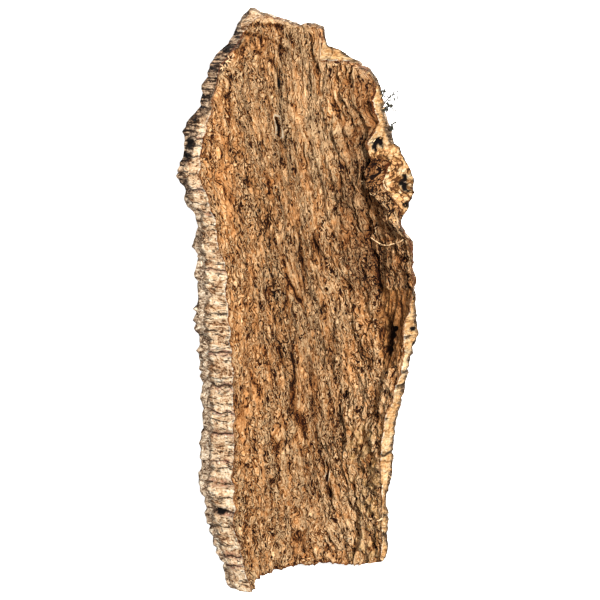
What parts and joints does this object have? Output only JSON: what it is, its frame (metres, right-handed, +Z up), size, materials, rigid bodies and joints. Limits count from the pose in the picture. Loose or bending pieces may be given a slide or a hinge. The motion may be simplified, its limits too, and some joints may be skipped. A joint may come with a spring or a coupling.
{
  "type": "piece of bark",
  "caption": "Half-pipe of virgin cork bark lying on its back, with a ridged hollow face, a plated outer face and ragged rims.",
  "frame": {"origin": "centre of the footprint, on the surface that the bark rests on", "axes": "+Y along the grain towards the ragged end, +X towards the thinner rim, +Z up out of the hollow"},
  "size_m": [0.2001, 0.5056, 0.0858],
  "materials": {
    "cork": "rough, dry cork bark, orange-brown inside, cream on the broken rims and grey-brown outside"
  },
  "bodies": {
    "root": {"bark": "cork"}
  },
  "joints": []
}
